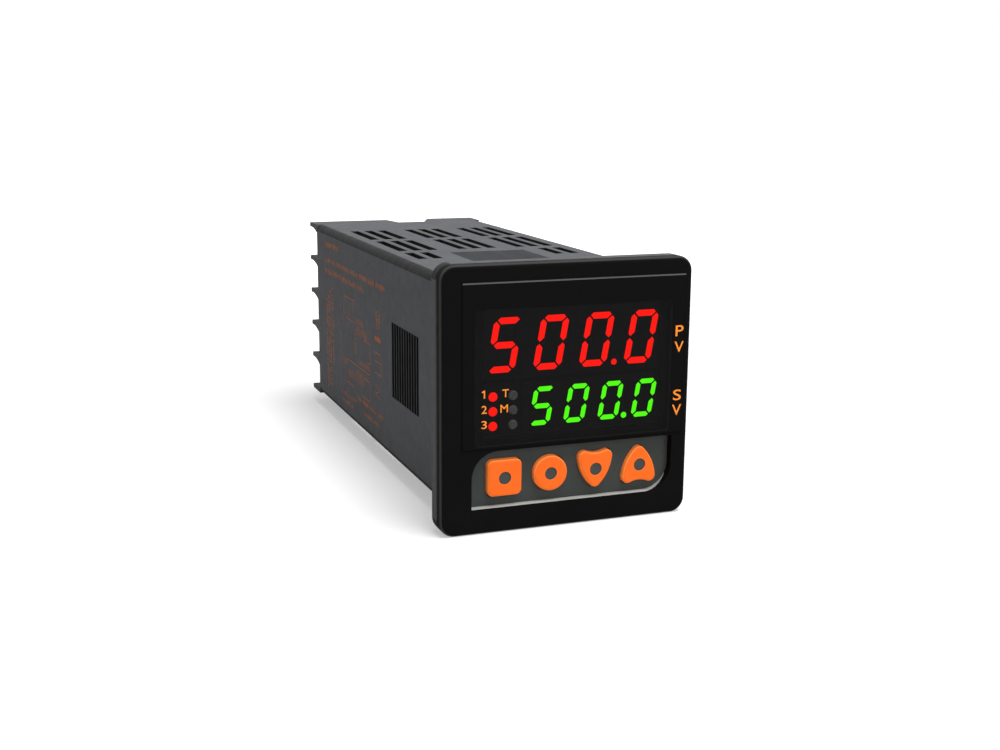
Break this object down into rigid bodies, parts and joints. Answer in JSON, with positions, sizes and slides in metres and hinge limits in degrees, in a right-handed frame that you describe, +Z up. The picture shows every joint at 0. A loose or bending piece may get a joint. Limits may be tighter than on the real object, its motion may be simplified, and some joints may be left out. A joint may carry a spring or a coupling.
{
  "type": "pid temperature controller",
  "caption": "Panel-mounted temperature controller: square front with two digital readings and push keys, deep vented body and rear screw terminals.",
  "frame": {"origin": "middle of the collar's rear face, which seats on the panel", "axes": "+Y towards the rear terminals, +X to the right as seen from the front, +Z up"},
  "size_m": [0.048, 0.112, 0.048],
  "materials": {
    "housing_abs": "fine matt moulding",
    "bezel_black": "satin moulding",
    "plate_print": "satin printed film on a moulded plate",
    "window_smoke": "smoked clear plastic",
    "mat_rubber": "matt",
    "key_orange": "satin",
    "key_dot": "matt",
    "black_moulding": "matt",
    "red_lit": "lit",
    "green_lit": "lit",
    "segment_dark": "unlit",
    "lamp_dark": "unlit",
    "circuit_board": "glass-fibre board with green lacquer",
    "contact_brass": "bright",
    "plated_steel": "zinc plated",
    "ferrite": "matt ferrite",
    "winding_tape": "polyester tape",
    "can_aluminium": "drawn can",
    "varistor_blue": "dipped epoxy"
  },
  "bodies": {
    "controller": {"housing": "housing_abs", "terminal_block": "housing_abs", "front_bezel": "bezel_black", "front_plate": "plate_print", "display_window": "window_smoke", "keypad_mat": "mat_rubber", "display_board": "circuit_board", "terminal_board": "circuit_board", "power_board": "circuit_board", "signal_board": "circuit_board", "key_switches": "black_moulding", "lamp_holder": "black_moulding", "pv_display": "black_moulding", "sv_display": "black_moulding", "relays": "black_moulding", "bridge_rectifier": "black_moulding", "optocouplers": "black_moulding", "processor": "black_moulding", "input_amplifiers": "black_moulding", "board_headers": "black_moulding", "fuse": "black_moulding", "pv_segments_lit": "red_lit", "pv_segments_dark": "segment_dark", "sv_segments_lit": "green_lit", "sv_segments_dark": "segment_dark", "status_lamps_lit": "red_lit", "status_lamps_dark": "lamp_dark", "terminal_contacts": "contact_brass", "terminal_clamps": "plated_steel", "terminal_screws": "plated_steel", "transformer_core": "ferrite", "transformer_winding": "winding_tape", "line_choke": "ferrite", "bulk_capacitor": "can_aluminium", "output_capacitors": "can_aluminium", "crystal": "can_aluminium", "varistor": "varistor_blue"},
    "key_set": {"key_set_cap": "key_orange", "key_set_stem": "key_dot"},
    "key_enter": {"key_enter_cap": "key_orange", "key_enter_stem": "key_dot"},
    "key_down": {"key_down_cap": "key_orange", "key_down_stem": "key_dot"},
    "key_up": {"key_up_cap": "key_orange", "key_up_stem": "key_dot"}
  },
  "joints": [
    {"name": "key_set_press", "type": "slide", "parent": "controller", "child": "key_set", "axis": [0, 1, 0], "range_m": [0, 0.0008], "stiffness_N_per_m": 1000},
    {"name": "key_enter_press", "type": "slide", "parent": "controller", "child": "key_enter", "axis": [0, 1, 0], "range_m": [0, 0.0008], "stiffness_N_per_m": 1000},
    {"name": "key_down_press", "type": "slide", "parent": "controller", "child": "key_down", "axis": [0, 1, 0], "range_m": [0, 0.0008], "stiffness_N_per_m": 1000},
    {"name": "key_up_press", "type": "slide", "parent": "controller", "child": "key_up", "axis": [0, 1, 0], "range_m": [0, 0.0008], "stiffness_N_per_m": 1000}
  ]
}
